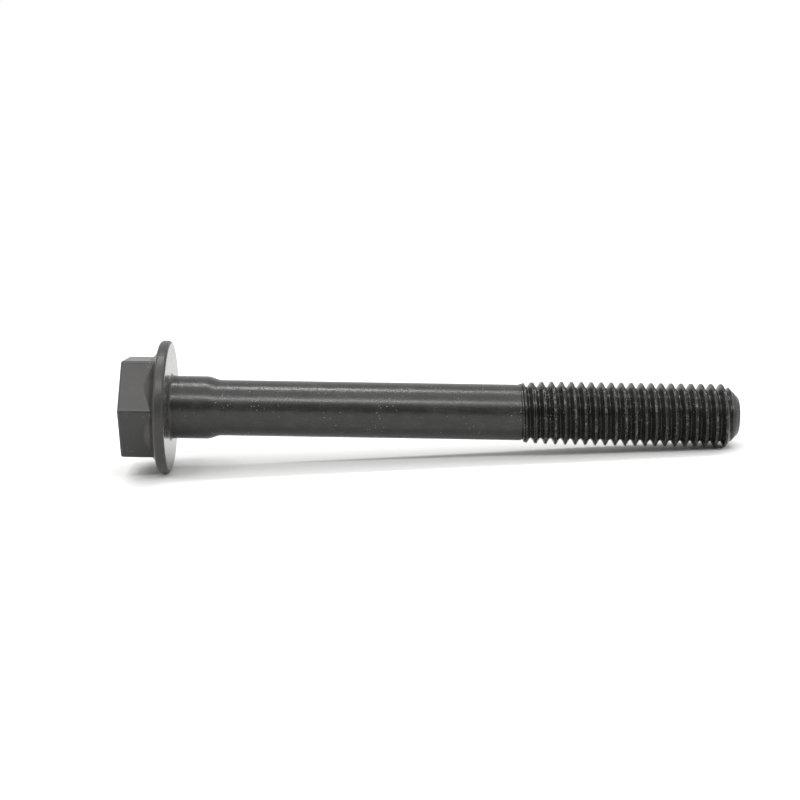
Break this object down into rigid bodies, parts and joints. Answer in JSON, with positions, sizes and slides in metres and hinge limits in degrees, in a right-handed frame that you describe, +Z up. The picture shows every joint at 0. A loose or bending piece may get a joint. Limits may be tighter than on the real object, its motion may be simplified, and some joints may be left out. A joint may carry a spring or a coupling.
{
  "type": "flange bolt",
  "caption": "Hexagon flange bolt with a full-size neck, a reduced plain shank and a rolled metric thread, for clamping parts with a wide built-in washer face.",
  "frame": {"origin": "centre of the bearing face, on the bolt's own axis, from which the bolt's length is measured", "axes": "+X along the bolt towards its tip, +Z up from the surface it lies on. The bolt rests on its flange rim and its last crests, so its own axis dips about 3.6 degrees below +X towards the tip; the mounts give that axis exactly."},
  "size_m": [0.0775, 0.0166, 0.0167],
  "materials": {
    "black_steel": "satin"
  },
  "bodies": {
    "root": {"flange_bolt": "black_steel"}
  },
  "joints": []
}
